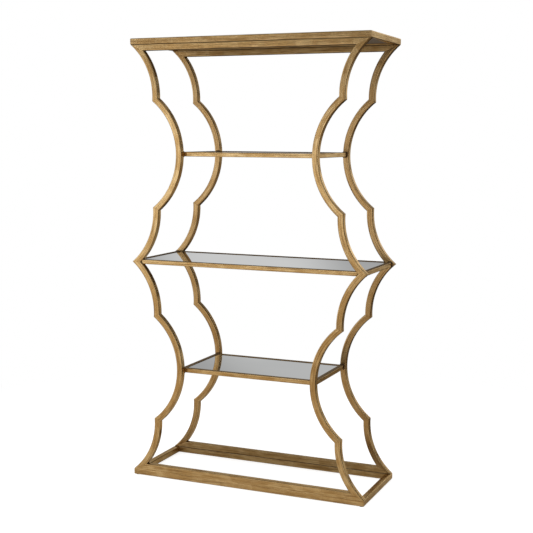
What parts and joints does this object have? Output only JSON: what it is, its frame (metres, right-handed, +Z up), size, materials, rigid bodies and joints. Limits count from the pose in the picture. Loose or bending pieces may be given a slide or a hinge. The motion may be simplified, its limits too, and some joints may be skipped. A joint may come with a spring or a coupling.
{
  "type": "etagere",
  "caption": "Open display shelf unit with scalloped, waisted legs of square tube in aged gold leaf, and inset mirror shelves and top for showing objects.",
  "frame": {"origin": "centre of the footprint on the floor, under the middle of the four glides", "axes": "+X along the width to the right, +Y from the front to the back, +Z up"},
  "size_m": [1.2192, 0.46, 2.1717],
  "materials": {
    "gold_leaf": "aged gold leaf over dark bole, satin, streaked along the bars",
    "mirror": "plain silvered glass",
    "backing_board": "painted board, matt brown",
    "floor_glide": "plain dark nylon"
  },
  "bodies": {
    "root": {"back_bottom_rail": "gold_leaf", "back_left_leg_bottom_arc": "gold_leaf", "back_left_leg_lower_middle_arc": "gold_leaf", "back_left_leg_lower_waist_arc": "gold_leaf", "back_left_leg_top_arc": "gold_leaf", "back_left_leg_upper_middle_arc": "gold_leaf", "back_left_leg_upper_waist_arc": "gold_leaf", "back_right_leg_bottom_arc": "gold_leaf", "back_right_leg_lower_middle_arc": "gold_leaf", "back_right_leg_lower_waist_arc": "gold_leaf", "back_right_leg_top_arc": "gold_leaf", "back_right_leg_upper_middle_arc": "gold_leaf", "back_right_leg_upper_waist_arc": "gold_leaf", "back_top_rail": "gold_leaf", "base_back_bar": "gold_leaf", "base_front_bar": "gold_leaf", "base_left_bar": "gold_leaf", "base_right_bar": "gold_leaf", "cap_back_bar": "gold_leaf", "cap_front_bar": "gold_leaf", "cap_left_bar": "gold_leaf", "cap_right_bar": "gold_leaf", "floor_glides": "floor_glide", "front_bottom_rail": "gold_leaf", "front_left_leg_bottom_arc": "gold_leaf", "front_left_leg_lower_middle_arc": "gold_leaf", "front_left_leg_lower_waist_arc": "gold_leaf", "front_left_leg_top_arc": "gold_leaf", "front_left_leg_upper_middle_arc": "gold_leaf", "front_left_leg_upper_waist_arc": "gold_leaf", "front_right_leg_bottom_arc": "gold_leaf", "front_right_leg_lower_middle_arc": "gold_leaf", "front_right_leg_lower_waist_arc": "gold_leaf", "front_right_leg_top_arc": "gold_leaf", "front_right_leg_upper_middle_arc": "gold_leaf", "front_right_leg_upper_waist_arc": "gold_leaf", "front_top_rail": "gold_leaf", "lower_shelf_back_rail": "gold_leaf", "lower_shelf_backing": "backing_board", "lower_shelf_front_rail": "gold_leaf", "lower_shelf_left_rail": "gold_leaf", "lower_shelf_mirror": "mirror", "lower_shelf_right_rail": "gold_leaf", "middle_shelf_back_rail": "gold_leaf", "middle_shelf_backing": "backing_board", "middle_shelf_front_rail": "gold_leaf", "middle_shelf_left_rail": "gold_leaf", "middle_shelf_mirror": "mirror", "middle_shelf_right_rail": "gold_leaf", "panel_support_tabs": "gold_leaf", "top_backing": "backing_board", "top_mirror": "mirror", "upper_shelf_back_rail": "gold_leaf", "upper_shelf_backing": "backing_board", "upper_shelf_front_rail": "gold_leaf", "upper_shelf_left_rail": "gold_leaf", "upper_shelf_mirror": "mirror", "upper_shelf_right_rail": "gold_leaf"}
  },
  "joints": []
}
